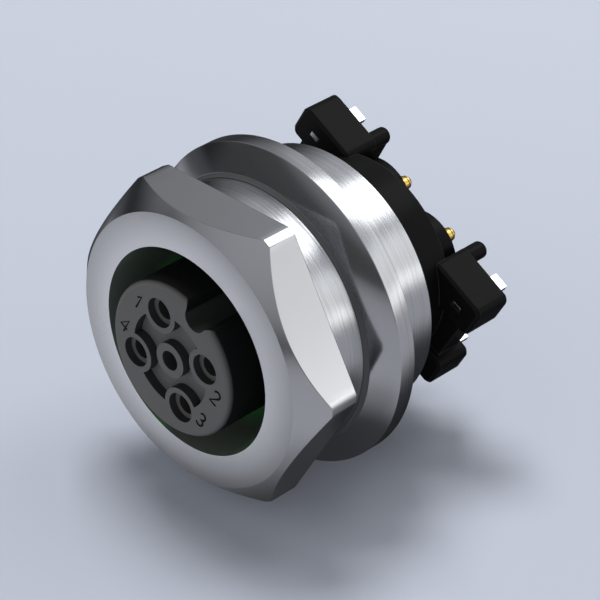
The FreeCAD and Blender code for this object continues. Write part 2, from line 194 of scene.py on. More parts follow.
def buildSoftEdge():
    # rounds the normal over sharp moulded edges and gives their mask, which carries a painted edge
    # highlight
    group, start, end = newGroup(
        "softEdge", {"radius": 0.00005},
        {"edge": "NodeSocketFloat", "normal": "NodeSocketVector"})
    bevel = addNode(group, "ShaderNodeBevel", {"samples": effectSizes["edgeSamples"]})
    group.links.new(start.outputs["radius"], bevel.inputs["Radius"])
    face = addNode(group, "ShaderNodeNewGeometry")
    dot = addNode(group, "ShaderNodeVectorMath", {"operation": "DOT_PRODUCT"})
    wire(group, bevel, dot, 0, 0)
    wire(group, face, dot, "Normal", 1)
    mask = mathNode(group, "SUBTRACT", 1.0, dot.outputs["Value"])
    group.links.new(mathNode(group, "MULTIPLY", mask, effectSizes["edgeGain"]), end.inputs["edge"])
    wire(group, bevel, end, 0, "normal")
    return group


turnedGrain = buildTurnedGrain()
mouldGrain = buildMouldGrain()
softEdge = buildSoftEdge()


# finishes

metalFinish = {
    "plate": (0.66, 0.67, 0.69), "lineStops": (0.32, 0.68), "bumpDepth": 0.000004,
    # painted shade on the lip: paler near the bore, darker towards its outer edge
    "lipNear": 5.46, "lipFar": 7.2, "lipNearShare": 1.12, "lipFarShare": 0.70,
}
turnedFinishes = {
    "satinPlate": {"rough": (0.25, 0.29), "lines": 3.0, "around": 1.0, "bump": 0.002, "tint": 1.0},
    # painted shade: the seat's plate is a darker copy of the satin plate
    "shadedSeatPlate": {"rough": (0.25, 0.29), "lines": 22.0, "around": 1.0, "bump": 0.004,
                  "tint": 0.62, "lineTint": 0.985},
    "brushedPlate": {"rough": (0.16, 0.30), "lines": 9.0, "around": 1.3, "bump": 2.2,
                     "tint": 1.04, "lineTint": 0.86},
    "glossyPlate": {"rough": (0.12, 0.15), "lines": 12.0, "around": 1.0, "bump": 0.006,
                    "tint": 0.92, "lineTint": 0.985},
    "millPlate": {"rough": (0.16, 0.22), "lines": 12.0, "around": 1.0, "bump": 0.008,
                  "tint": 1.0, "lineTint": 0.985},
}


def platedColour(share):
    return tuple(part * share for part in metalFinish["plate"])


def lineTone(tree, grain, colour, lineTint):
    # the turned grooves are a shade darker
    grooveColour = tuple(part * lineTint for part in colour)
    stops = list(zip(metalFinish["lineStops"], (grooveColour, colour)))
    return rampNode(tree, grain.outputs["fine"], stops)


def outwardPaintedShade(tree, grain):
    # painted shade: the rolled lip's plate is painted paler at the bore and falls in tone outwards
    s = metalFinish
    share = addNode(tree, "ShaderNodeMapRange", From_Min=s["lipNear"] * mm, From_Max=s["lipFar"] * mm)
    wire(tree, grain, share, "radius")
    return blendColours(tree, share.outputs["Result"],
                        platedColour(s["lipNearShare"]), platedColour(s["lipFarShare"]))


def turnedMetal(name):
    s = turnedFinishes[name]
    colour = platedColour(s["tint"])
    material, tree, shader = newMaterial(name, Base_Color=(*colour, 1.0), Metallic=1.0)
    grain = placeGroup(tree, turnedGrain, lines=s["lines"], around=s["around"])
    tree.links.new(scaleNode(tree, grain.outputs["broad"], *s["rough"]), shader.inputs["Roughness"])
    # grooves a shade darker, or on the lip a painted shade that darkens outwards
    tone = lineTone(tree, grain, colour, s["lineTint"]) if "lineTint" in s else outwardPaintedShade(tree, grain)
    tree.links.new(tone, shader.inputs["Base Color"])
    bumpFrom(tree, shader, grain.outputs["fine"], s["bump"], metalFinish["bumpDepth"])
    return material


satinPlate = turnedMetal("satinPlate")
shadedSeatPlate = turnedMetal("shadedSeatPlate")
brushedPlate = turnedMetal("brushedPlate")
glossyPlate = turnedMetal("glossyPlate")
millPlate = turnedMetal("millPlate")

boreFinishAndReflection = {
    "dark": (0.32, 0.36, 0.32), "green": (0.34, 0.92, 0.38), "patchStops": (0.44, 0.66),
    "rough": (0.34, 0.48), "metallic": 0.5, "lines": 8.0, "around": 1.2, "patchSize": 3500.0,
}


def boreMetalWithReflection():
    # painted reflection: the bore's plate is painted green in patches, for the green of the well mirrored
    # in it
    s = boreFinishAndReflection
    stops = list(zip(s["patchStops"], (s["dark"], s["green"])))
    material, tree, shader = newMaterial("borePlate", Metallic=s["metallic"])
    grain = placeGroup(tree, turnedGrain, lines=s["lines"], around=s["around"])
    patches = placeGroup(tree, mouldGrain, size=s["patchSize"])
    tree.links.new(scaleNode(tree, grain.outputs["broad"], *s["rough"]), shader.inputs["Roughness"])
    tree.links.new(rampNode(tree, patches.outputs["patches"], stops), shader.inputs["Base Color"])
    return material


borePlate = boreMetalWithReflection()

mouldedDefaults = {"edge": 0.00004, "specular": 0.5, "metallic": 0.0, "bumpDepth": 0.000006}
smallMetal = {"metallic": 1.0, "bumpDepth": metalFinish["bumpDepth"]}
mouldedFinishes = {
    "greySeal": {"colour": (0.090, 0.091, 0.095), "rough": (0.26, 0.34), "grain": 5000.0, "bump": 0.03,
                 "edgeHighlight": (0.096, 0.097, 0.101)},
    "greenSeal": {"colour": (0.02, 0.22, 0.03), "rough": (0.30, 0.42), "grain": 5000.0, "bump": 0.05,
                  "edgeHighlight": (0.03, 0.3, 0.05)},
    "blackSeal": {"colour": (0.012, 0.012, 0.013), "rough": (0.38, 0.5), "grain": 5000.0, "bump": 0.05,
                  "edgeHighlight": (0.03, 0.03, 0.03)},
    "insertPlastic": {"colour": (0.130, 0.128, 0.125), "rough": (0.52, 0.66), "grain": 9000.0,
                      "bump": 0.10, "edgeHighlight": (0.17, 0.168, 0.162), "specular": 0.35},
    "carrierPlastic": {"colour": (0.0090, 0.0090, 0.0093), "rough": (0.26, 0.36), "grain": 8000.0,
                       "bump": 0.08, "edgeHighlight": (0.060, 0.060, 0.060), "specular": 0.05,
                       "edge": 0.00009},
    "goldPlate": {"colour": (0.86, 0.58, 0.16), "rough": (0.16, 0.28), "grain": 4000.0, "bump": 0.05,
                  "edgeHighlight": (0.95, 0.72, 0.32), **smallMetal},
    "sleeveSteel": {"colour": (0.50, 0.50, 0.52), "rough": (0.22, 0.34), "grain": 4000.0, "bump": 0.05,
                    "edgeHighlight": (0.62, 0.62, 0.64), "edge": 0.00003, **smallMetal},
    "tinPlate": {"colour": (0.86, 0.87, 0.89), "rough": (0.14, 0.26), "grain": 5000.0, "bump": 0.06,
                 "edgeHighlight": (0.95, 0.95, 0.96), **smallMetal},
}


def mouldedFinish(name):
    # fine grain, patchy gloss and a painted highlight along the edges, for plastic, rubber and small plated
    # parts
    s = {**mouldedDefaults, **mouldedFinishes[name]}
    material, tree, shader = newMaterial(name, Base_Color=(*s["colour"], 1.0), Metallic=s["metallic"])
    shader.inputs["Specular IOR Level"].default_value = s["specular"]
    grain = placeGroup(tree, mouldGrain, size=s["grain"])
    edge = placeGroup(tree, softEdge, radius=s["edge"])
    tree.links.new(scaleNode(tree, grain.outputs["patches"], *s["rough"]), shader.inputs["Roughness"])
    # painted highlight: the colour turns paler along the edges
    tree.links.new(rampNode(tree, edge.outputs["edge"], [(0.0, s["colour"]), (1.0, s["edgeHighlight"])]),
                   shader.inputs["Base Color"])
    bumpFrom(tree, shader, grain.outputs["grain"], s["bump"], s["bumpDepth"], edge.outputs["normal"])
    return material


greySeal = mouldedFinish("greySeal")
greenSeal = mouldedFinish("greenSeal")
blackSeal = mouldedFinish("blackSeal")
insertPlastic = mouldedFinish("insertPlastic")
carrierPlastic = mouldedFinish("carrierPlastic")
goldPlate = mouldedFinish("goldPlate")
sleeveSteel = mouldedFinish("sleeveSteel")
tinPlate = mouldedFinish("tinPlate")

# painted shade for the insert's walls, with their lower specular
wallFinishAndShade = {
    "across": (0.15, 0.85), "inner": (0.042, 0.042, 0.043), "outer": (0.010, 0.010, 0.011),
    "outerFrom": 3.4, "outerTo": 3.5, "specular": (0.06, 0.35),
}


def paintWallShade(material):
    # painted shade: walls along the axis are smooth and painted dark, the outer one most, and faces across
    # it are matt
    s = wallFinishAndShade
    tree = material.node_tree
    shader = tree.nodes["Principled BSDF"]
    faceColour = shader.inputs["Base Color"].links[0].from_socket
    face = addNode(tree, "ShaderNodeNewGeometry")
    split = addNode(tree, "ShaderNodeSeparateXYZ")
    wire(tree, face, split, "Normal")
    across = addNode(tree, "ShaderNodeMapRange", From_Min=s["across"][0], From_Max=s["across"][1])
    tree.links.new(mathNode(tree, "ABSOLUTE", split.outputs["Y"]), across.inputs["Value"])
    turned = placeGroup(tree, turnedGrain)
    outside = addNode(tree, "ShaderNodeMapRange", From_Min=s["outerFrom"] * mm, From_Max=s["outerTo"] * mm)
    wire(tree, turned, outside, "radius")
    paintedWallShade = blendColours(tree, outside.outputs["Result"], s["inner"], s["outer"])
    tree.links.new(blendColours(tree, across.outputs["Result"], paintedWallShade, faceColour),
                   shader.inputs["Base Color"])
    tree.links.new(scaleNode(tree, across.outputs["Result"], *s["specular"]),
                   shader.inputs["Specular IOR Level"])


paintWallShade(insertPlastic)

numberFinish = {"colour": (0.003, 0.003, 0.003), "rough": (0.55, 0.75), "specular": 0.1, "grain": 9000.0}


def numberMark():
    s = numberFinish
    material, tree, shader = newMaterial("numberGroove", Base_Color=(*s["colour"], 1.0))
    shader.inputs["Specular IOR Level"].default_value = s["specular"]
    grain = placeGroup(tree, mouldGrain, size=s["grain"])
    tree.links.new(scaleNode(tree, grain.outputs["patches"], *s["rough"]), shader.inputs["Roughness"])
    return material


numberGroove = numberMark()
print("finishes ready:", len(bpy.data.materials))


# mesh makers

meshSizes = {"sameSpot": 0.00000001, "sameCadSpot": 0.0000002, "normalWeight": 90,
             "reachShare": 0.45, "cornerSteps": 3}


def linkPiece(name, mesh):
    piece = bpy.data.objects.new(name, mesh)
    bpy.context.scene.collection.objects.link(piece)
    return piece


def meshFrom(bm, name, *materials):
    # turns the faces outwards and hands the work over as a mesh
    bmesh.ops.recalc_face_normals(bm, faces=bm.faces)
    mesh = bpy.data.meshes.new(name)
    bm.to_mesh(mesh)
    bm.free()
    for material in materials:
        mesh.materials.append(material)
    return mesh


def evenNormals(piece):
    # large faces keep their true direction, and the narrow rounding beside them takes the turn
    modifier = piece.modifiers.new("evenNormals", "WEIGHTED_NORMAL")
    modifier.mode = "FACE_AREA"
    modifier.weight = meshSizes["normalWeight"]
    modifier.keep_sharp = True


def softened(outline, steps=meshSizes["cornerSteps"]):
    # closed outline of (radius, y, rounding): each corner becomes a short arc
    share = meshSizes["reachShare"]
    points = []
    for index, (r, y, rounding) in enumerate(outline):
        corner = Vector((r, y))
        if rounding <= 0.0:
            points.append(corner)
            continue
        before = Vector(outline[index - 1][:2]) - corner
        after = Vector(outline[(index + 1) % len(outline)][:2]) - corner
        half = before.angle(after) / 2
        reach = min(rounding / max(math.tan(half), 1e-4), before.length * share, after.length * share)
        start = corner + before.normalized() * reach
        end = corner + after.normalized() * reach
        for step in range(steps + 1):
            t = step / steps
            points.append(start.lerp(corner, t).lerp(corner.lerp(end, t), t))
    return points


def ringMesh(name, columns, material):
    # columns: one closed loop of points for each angle, all of the same length
    bm = bmesh.new()
    rings = [[bm.verts.new(point) for point in column] for column in columns]
    count = len(rings[0])
    for index, ring in enumerate(rings):
        following = rings[(index + 1) % len(rings)]
        for row in range(count):
            other = (row + 1) % count
            face = bm.faces.new((ring[row], ring[other], following[other], following[row]))
            face.smooth = True
    bmesh.ops.remove_doubles(bm, verts=bm.verts, dist=meshSizes["sameSpot"])
    return meshFrom(bm, name, material)


def turnedPiece(name, outline, material, segments):
    # closed outline of (radius, y, rounding) in mm, spun about the Y axis
    points = softened(outline)
    columns = []
    for index in range(segments):
        angle = 2 * math.pi * index / segments
        columns.append([(math.sin(angle) * p.x * mm, p.y * mm, math.cos(angle) * p.x * mm) for p in points])
    piece = linkPiece(name, ringMesh(name, columns, material))
    evenNormals(piece)
    return piece


def mergedCopy(node, name, material, sharpAngle):
    # the CAD node's own surface with its triangles joined, so that round faces shade evenly
    bm = bmesh.new()
    bm.from_mesh(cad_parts[node].data)
    bmesh.ops.remove_doubles(bm, verts=bm.verts, dist=meshSizes["sameCadSpot"])
    bm.verts.index_update()
    mesh = bpy.data.meshes.new(name)
    mesh.from_pydata([v.co[:] for v in bm.verts], [], [[v.index for v in f.verts] for f in bm.faces])
    bm.free()
    mesh.shade_smooth()
    mesh.set_sharp_from_angle(angle=math.radians(sharpAngle))
    mesh.materials.append(material)
    piece = linkPiece(name, mesh)
    evenNormals(piece)
    return piece


# shell: rolled lip, bevelled hexagon, shank and bore in one turning

shellSizes = {
    "flats": 6, "bar": 8.525, "flat": 7.5, "headFront": -2.92, "bevelEnd": -1.67,
    "lipOuter": 7.2, "lipFlat": 6.3, "bore": 5.46, "boreFront": -3.0,
    "shank": 7.0, "shankEnd": 6.97, "endBevel": 0.18,
    "edgeRounding": 0.07, "columnsPerFlat": 34, "shankColumns": 240,
    "lipSteps": 10, "cornerSteps": 5, "besideEdge": 0.12, "endRounding": 0.03, "endWall": 0.6,
    "hexOverlap": 0.2, "tubeOverlap": 0.15, "lipMargin": 0.01, "seatFrom": -0.5, "millTo": -0.03,
    "sharpAngle": 22.0,
}
halfFlat = 180.0 / shellSizes["flats"]  # degrees from the middle of a flat to its edge
shellSlots = {"lip": 0, "shank": 1, "bore": 2, "hexagon": 3, "seat": 4}


def joinRings(bm, firstRing, firstAngles, secondRing, secondAngles, materialIndex):
    # fills the band between two rings of different counts, walking round both by angle
    i = j = 0
    while i < len(firstRing) or j < len(secondRing):
        nextFirst = firstAngles[i + 1] if i + 1 < len(firstAngles) else firstAngles[0] + 360.0
        nextSecond = secondAngles[j + 1] if j + 1 < len(secondAngles) else secondAngles[0] + 360.0
        if j >= len(secondRing) or (i < len(firstRing) and nextFirst <= nextSecond):
            corners = (firstRing[i], firstRing[(i + 1) % len(firstRing)], secondRing[j % len(secondRing)])
            i += 1
        else:
            corners = (firstRing[i % len(firstRing)], secondRing[(j + 1) % len(secondRing)], secondRing[j])
            j += 1
        face = bm.faces.new(corners)
        face.material_index = materialIndex


def lipArc():
    # a level face from the bore's mouth that curls back to the lip's outer edge
    s = shellSizes
    run, drop = s["lipOuter"] - s["lipFlat"], s["headFront"] - s["boreFront"]
    points = [(s["bore"], s["boreFront"], 0.0)]
    for i in range(s["lipSteps"] + 1):
        t = i / s["lipSteps"]
        points.append((s["lipFlat"] + run * t, s["boreFront"] + drop * t * t, 0.0))
    return points


def headOutline(reach):
    # open line from the bore's mouth over lip, bevel and flat to the seating face
    s = shellSizes
    slope = (s["bevelEnd"] - s["headFront"]) / (s["bar"] - s["lipOuter"])
    bevelEnd = s["bevelEnd"] - (s["bar"] - reach) * slope
    r = s["edgeRounding"]
    return lipArc() + [(reach, bevelEnd, r), (reach, 0.0, r)]


def cornerArc(points):
    # an open line with each corner of positive rounding turned into a short arc
    closed = softened(points + [(points[0][0], points[-1][1], 0.0)], shellSizes["cornerSteps"])
    return closed[:-1]


def flatAngles():
    # columns crowd towards the six narrow corner faces, with one pair just beside each edge
    s = shellSizes
    cornerAngle = math.degrees(math.acos(s["flat"] / s["bar"]))
    inside = cornerAngle - s["besideEdge"]
    local = [-inside + 2 * inside * i / (s["columnsPerFlat"] - 1) for i in range(s["columnsPerFlat"])]
    facet = [-halfFlat, -(halfFlat + cornerAngle) / 2, -cornerAngle - s["besideEdge"]]
    angles = []
    for flat in range(s["flats"]):
        angles += [flat * 2 * halfFlat + value for value in facet + local + [-facet[2], -facet[1]]]
    return angles


def spunPoint(angle, p):
    turn = math.radians(angle)
    return (math.sin(turn) * p[0] * mm, p[1] * mm, math.cos(turn) * p[0] * mm)


def buildShell():
    # the hexagon's columns end in a ring on the seating face, where the even columns of the shank begin
    s = shellSizes
    hexAngles = flatAngles()
    evenAngles = [360.0 * i / s["shankColumns"] - halfFlat for i in range(s["shankColumns"])]
    inner, outer = (s["bore"], s["shankEnd"], 0.0), (s["shank"] + s["hexOverlap"], 0.0, 0.0)
    headColumns = []
    for angle in hexAngles:
        offset = (angle + halfFlat) % (2 * halfFlat) - halfFlat
        reach = min(s["bar"], s["flat"] / math.cos(math.radians(offset)))
        line = cornerArc([inner] + headOutline(reach) + [outer])
        headColumns.append([spunPoint(angle, p) for p in line])
    shankLine = cornerArc([
        (s["shank"] + s["tubeOverlap"], 0.0, 0.0),
        (s["shank"], 0.0, 0.0),
        (s["shank"], s["shankEnd"] - s["endBevel"], s["endRounding"]),
        (s["shank"] - s["endBevel"], s["shankEnd"], s["endRounding"]),
        (s["shank"] - s["endWall"], s["shankEnd"], 0.0)])
    shankColumns = [[spunPoint(angle, p) for p in shankLine] for angle in evenAngles]
    section = cornerArc([inner] + headOutline(s["bar"]) + [outer])

    def finishOf(row):
        # bore first, then satin lip, milled hexagon and the seat, painted darker as shade
        if row == 0:
            return shellSlots["bore"]
        outside = section[row + 1][0] > s["lipOuter"] + s["lipMargin"]
        if outside and section[row][1] < s["millTo"]:
            return shellSlots["hexagon"]
        return shellSlots["seat"] if section[row][1] > s["seatFrom"] else shellSlots["lip"]

    bm = bmesh.new()
    head = [[bm.verts.new(point) for point in column] for column in headColumns]
    tube = [[bm.verts.new(point) for point in column] for column in shankColumns]
    for columns, isHead in ((head, True), (tube, False)):
        for index, column in enumerate(columns):
            following = columns[(index + 1) % len(columns)]
            for row in range(len(column) - 1):
                face = bm.faces.new((column[row], column[row + 1], following[row + 1], following[row]))
                face.material_index = finishOf(row) if isHead else shellSlots["shank"]
    hexRing, hexBoreRing = [column[-1] for column in head], [column[0] for column in head]
    tubeRing, tubeEndRing = [column[0] for column in tube], [column[-1] for column in tube]
    joinRings(bm, hexRing, hexAngles, tubeRing, evenAngles, shellSlots["lip"])
    joinRings(bm, tubeEndRing, evenAngles, hexBoreRing, hexAngles, shellSlots["shank"])
    for face in bm.faces:
        face.smooth = True
    mesh = meshFrom(bm, "shellTurning", satinPlate, brushedPlate, borePlate, millPlate, shadedSeatPlate)
    mesh.set_sharp_from_angle(angle=math.radians(s["sharpAngle"]))
    piece = linkPiece("shellTurning", mesh)
    evenNormals(piece)
    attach(piece, "shell_body")
    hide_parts("shell")
    return piece


shellTurning = buildShell()
print("shell:", len(shellTurning.data.polygons), "faces")


# round nut and its seal

nutSizes = {
    "front": 2.2, "rear": 4.0, "cone": 0.8, "outer": 8.525, "bore": 7.04, "coneEdge": 7.18,
    "grooveFront": 2.65, "grooveRear": 3.35, "grooveFloor": 7.525, "rounding": 0.05,
    "rearBevel": 0.06, "rearRounding": 0.02, "innerRounding": 0.03, "segments": 288, "glossMargin": 0.02,
    "sealFront": 2.0, "sealInner": 7.004, "sealReach": 7.215, "skin": 0.03, "hollow": (0.06, 0.04),
    "lipSink": 0.005, "lipSteps": 8, "sealTuck": 0.01, "sealRounding": 0.05, "sealSegments": 192,
}


def buildNut():
    s = nutSizes
    nut = turnedPiece("nutTurning", [
        (s["coneEdge"], s["front"], s["innerRounding"]),
        (s["outer"], s["front"] + s["cone"], s["rounding"]),
        (s["outer"], s["rear"] - s["rearBevel"], s["rearRounding"]),
        (s["outer"] - s["rearBevel"], s["rear"], s["rearRounding"]),
        (s["bore"], s["rear"], s["innerRounding"]),
        (s["bore"], s["grooveRear"], 0.0),
        (s["grooveFloor"], s["grooveRear"], 0.0),
        (s["grooveFloor"], s["grooveFront"], 0.0),
        (s["coneEdge"], s["grooveFront"], 0.0),
    ], brushedPlate, s["segments"])
    nut.data.materials.append(glossyPlate)
    for face in nut.data.polygons:
        if face.center.y < (s["front"] + s["cone"] - s["glossMargin"]) * mm:
            face.material_index = 1
    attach(nut, "nut_body")
    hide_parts("panel_nut")
    # the seal's lip runs in a hollow curve from the shank up to the cone
    slope = s["cone"] / (s["outer"] - s["coneEdge"])
    rim = (s["sealReach"], s["front"] + (s["sealReach"] - s["coneEdge"]) * slope - s["lipSink"])
    turn = (s["coneEdge"] - s["hollow"][0], s["front"] - s["hollow"][1])
    lip = []
    for i in range(s["lipSteps"] + 1):
        t = i / s["lipSteps"]
        lip.append(((1 - t) ** 2 * s["sealInner"] + 2 * t * (1 - t) * turn[0] + t * t * rim[0],
                    (1 - t) ** 2 * s["sealFront"] + 2 * t * (1 - t) * turn[1] + t * t * rim[1], 0.0))
    seal = turnedPiece("nutSealRing", lip + [
        (s["coneEdge"] - s["skin"], s["front"] + s["sealTuck"], 0.0),
        (s["coneEdge"] - s["skin"], s["grooveFront"] + s["skin"], 0.0),
        (s["grooveFloor"] - s["skin"], s["grooveFront"] + s["skin"], s["sealRounding"]),
        (s["grooveFloor"] - s["skin"], s["grooveRear"] - s["skin"], s["sealRounding"]),
        (s["sealInner"], s["grooveRear"] - s["skin"], s["innerRounding"]),
    ], greySeal, s["sealSegments"])
    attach(seal, "nut_carriage")
    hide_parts("nut_seal")


buildNut()
print("nut and seal made")


# insert and carrier, from their own CAD surfaces

mouldingSharp = 32.0
insertMoulding = mergedCopy("insert", "insertMoulding", insertPlastic, mouldingSharp)
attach(insertMoulding, "contact_unit")
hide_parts("insert")
carrierMoulding = mergedCopy("carrier", "carrierMoulding", carrierPlastic, mouldingSharp)
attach(carrierMoulding, "contact_unit")
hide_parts("carrier")
print("mouldings made")


# repeated pieces, set out by one Geometry Nodes tree

keyFrame = {"turn": 30.0, "pitch": 5.0 / (2 * math.sqrt(2)), "face": -4.0}


def keyed(u, y, v):
    # place in the coding key's frame, in mm, to the row frame in metres
    turn = math.radians(keyFrame["turn"])
    return Vector(((u * math.cos(turn) + v * math.sin(turn)) * mm, y * mm,
                   (v * math.cos(turn) - u * math.sin(turn)) * mm))


def newTree(name, inputs, output):
    tree = bpy.data.node_groups.new(name, "GeometryNodeTree")
    for label, kind in inputs.items():
        tree.interface.new_socket(label, in_out="INPUT", socket_type="NodeSocket" + kind)
    tree.interface.new_socket(output, in_out="OUTPUT", socket_type="NodeSocketGeometry")
    return tree, tree.nodes.new("NodeGroupInput")


def finishTree(tree, start, made, output):
    # the last steps of each tree: real geometry, then its finish
    end = tree.nodes.new("NodeGroupOutput")
    real = tree.nodes.new("GeometryNodeRealizeInstances")
    finish = tree.nodes.new("GeometryNodeSetMaterial")
    tree.links.new(made, real.inputs["Geometry"])
    wire(tree, real, finish, "Geometry", "Geometry")
    wire(tree, start, finish, "finish", "Material")
    wire(tree, finish, end, "Geometry", output)
    return tree


def buildSeatTree():
    tree, start = newTree("setOnSeats", {"seats": "Geometry", "blank": "Object", "turn": "Float",
                                         "finish": "Material"}, "pieces")
    blank = tree.nodes.new("GeometryNodeObjectInfo")
    turn = tree.nodes.new("ShaderNodeCombineXYZ")
    seat = tree.nodes.new("GeometryNodeInstanceOnPoints")
    wire(tree, start, blank, "blank", "Object")
    wire(tree, start, turn, "turn", "Y")
    wire(tree, start, seat, "seats", "Points")
    wire(tree, blank, seat, "Geometry", "Instance")
    wire(tree, turn, seat, "Vector", "Rotation")
    return finishTree(tree, start, seat.outputs["Instances"], "pieces")


def buildStrokeTree():
    tree, start = newTree("strokesAlongPaths", {"paths": "Geometry", "halfWidth": "Float",
                                                "finish": "Material"}, "strokes")
    curve = tree.nodes.new("GeometryNodeMeshToCurve")
    ring = tree.nodes.new("GeometryNodeCurvePrimitiveCircle")
    ring.inputs["Resolution"].default_value = 8  # sides of a stroke, enough for one so thin
    sweep = tree.nodes.new("GeometryNodeCurveToMesh")
    sweep.inputs["Fill Caps"].default_value = True
    wire(tree, start, curve, "paths", "Mesh")
    wire(tree, start, ring, "halfWidth", "Radius")
    wire(tree, curve, sweep, "Curve", "Curve")
    wire(tree, ring, sweep, "Curve", "Profile Curve")
    return finishTree(tree, start, sweep.outputs["Mesh"], "strokes")


seatTree = buildSeatTree()
strokeTree = buildStrokeTree()


def applyTree(name, baseMesh, tree, values, sharpAngle=34.0):
    # runs the tree on the base mesh and keeps its result as a plain mesh
    base = linkPiece(name + "Base", baseMesh)
    modifier = base.modifiers.new("nodes", "NODES")
    modifier.node_group = tree
    for item in tree.interface.items_tree:
        if item.in_out == "INPUT" and item.name in values:
            modifier[item.identifier] = values[item.name]
    depsgraph = bpy.context.evaluated_depsgraph_get()
    result = bpy.data.meshes.new_from_object(base.evaluated_get(depsgraph), depsgraph=depsgraph)
    base.modifiers.remove(modifier)
    bpy.data.objects.remove(base)
    result.name = name
    result.shade_smooth()
    result.set_sharp_from_angle(angle=math.radians(sharpAngle))
    piece = linkPiece(name, result)
    evenNormals(piece)
    return piece


def seatMesh(name, seats):
    mesh = bpy.data.meshes.new(name)
    mesh.from_pydata([keyed(*seat) for seat in seats], [], [])
    return mesh


def dropBlank(blank):
    mesh = blank.data
    bpy.data.objects.remove(blank)
    bpy.data.meshes.remove(mesh)


contactSizes = {
    "front": -2.8, "bore": 0.5, "boreEnd": 2.4, "socket": 0.7, "stem": 0.66, "tail": 0.4,
    "socketEnd": 4.4, "board": 11.3, "end": 13.3, "mouth": (0.06, 0.05), "drill": 0.25,
    "tailNeck": 0.05, "neckAt": (0.34, 0.26, 0.16), "tip": 0.18, "sides": 40,
    "sleeve": 0.82, "sleeveEnd": -0.2, "sleeveGap": 0.004,
    "roundings": {"mouth": 0.03, "rim": 0.02, "nose": 0.03, "stem": 0.04, "shoulder": 0.06,
                  "neck": (0.04, 0.05), "tip": 0.08},
    "sleeveRoundings": {"inner": 0.02, "front": 0.04, "rear": 0.03},
}


def contactSeats():
    p = keyFrame["pitch"]
    return seatMesh("contactSeats", [(-p, 0, p), (p, 0, p), (p, 0, -p), (-p, 0, -p), (0, 0, 0)])


def buildContacts():
    s, r = contactSizes, contactSizes["roundings"]
    blank = turnedPiece("contactBlank", [
        (s["bore"], s["front"] + s["mouth"][1], r["mouth"]),
        (s["bore"] + s["mouth"][0], s["front"], r["rim"]),
        (s["socket"], s["front"], r["nose"]),
        (s["socket"], s["socketEnd"], 0.0),
        (s["stem"], s["socketEnd"], 0.0),
        (s["stem"], s["board"], r["stem"]),
        (s["tail"], s["board"], 0.0),
        (s["tail"], s["end"] - s["neckAt"][0], r["shoulder"]),
        (s["tail"] - s["tailNeck"], s["end"] - s["neckAt"][1], r["neck"][0]),
        (s["tail"] - s["tailNeck"], s["end"] - s["neckAt"][2], r["neck"][1]),
        (s["tail"] - s["tip"], s["end"], r["tip"]),
        (0.0, s["end"], 0.0),
        (0.0, s["boreEnd"], 0.0),
        (s["bore"], s["boreEnd"] - s["drill"], 0.0),
    ], goldPlate, s["sides"])
    contacts = applyTree("contactSet", contactSeats(), seatTree,
                         {"blank": blank, "turn": 0.0, "finish": goldPlate})
    dropBlank(blank)
    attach(contacts, "contact_unit")
    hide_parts(*["contact_%d" % n for n in range(1, 6)])


def buildSleeves():
    s, r = contactSizes, contactSizes["sleeveRoundings"]
    blank = turnedPiece("sleeveBlank", [
        (s["socket"] + s["sleeveGap"], s["front"], r["inner"]),
        (s["sleeve"], s["front"], r["front"]),
        (s["sleeve"], s["sleeveEnd"], r["rear"]),
        (s["socket"] + s["sleeveGap"], s["sleeveEnd"], r["inner"]),
    ], sleeveSteel, s["sides"])
    sleeves = applyTree("sleeveSet", contactSeats(), seatTree,
                        {"blank": blank, "turn": 0.0, "finish": sleeveSteel})
    dropBlank(blank)
    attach(sleeves, "contact_unit")
    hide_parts(*["contact_sleeve_%d" % n for n in range(1, 6)])


pinSizes = {
    "front": 9.1, "step": 10.5, "end": 12.4, "stem": 0.275, "leg": 0.45,
    "bevel": 0.04, "thick": 0.28, "rounding": 0.015, "place": 5.65, "high": 3.25, "low": 1.5,
}


def buildHoldPins():
    s = pinSizes
    outline = [(-s["stem"], s["front"]), (s["stem"], s["front"]), (s["stem"], s["step"]),
               (s["leg"], s["step"]), (s["leg"], s["end"] - s["bevel"]), (s["leg"] - s["bevel"], s["end"]),
               (s["bevel"] - s["leg"], s["end"]), (-s["leg"], s["end"] - s["bevel"]),
               (-s["leg"], s["step"]), (-s["stem"], s["step"])]
    bm = bmesh.new()
    half = s["thick"] / 2
    lower = [bm.verts.new((x * mm, y * mm, -half * mm)) for x, y in outline]
    upper = [bm.verts.new((x * mm, y * mm, half * mm)) for x, y in outline]
    bm.faces.new(lower)
    bm.faces.new(upper)
    for index in range(len(outline)):
        other = (index + 1) % len(outline)
        bm.faces.new((lower[index], lower[other], upper[other], upper[index]))
    bmesh.ops.recalc_face_normals(bm, faces=bm.faces)
    bmesh.ops.bevel(bm, geom=list(bm.edges), offset=s["rounding"] * mm, segments=1, affect="EDGES")
    blank = linkPiece("pinBlank", meshFrom(bm, "pinBlank"))
    seats = [(-s["place"], 0, s["high"]), (s["place"], 0, s["high"]),
             (s["place"], 0, -s["low"]), (-s["place"], 0, -s["low"])]
    pins = applyTree("holdPinSet", seatMesh("pinSeats", seats), seatTree,
                     {"blank": blank, "turn": math.radians(keyFrame["turn"]), "finish": tinPlate})
    dropBlank(blank)
    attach(pins, "contact_unit")
    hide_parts(*["hold_pin_%d" % n for n in range(1, 5)])


ribSizes = {
    "side": 3.85, "high": 3.8, "peg": 0.42, "inSide": 0.55, "inHigh": 1.1, "reach": 1.45,
    "front": 10.4, "board": 11.35, "tip": 12.28, "halfThick": 0.24, "rounding": 0.05,
}


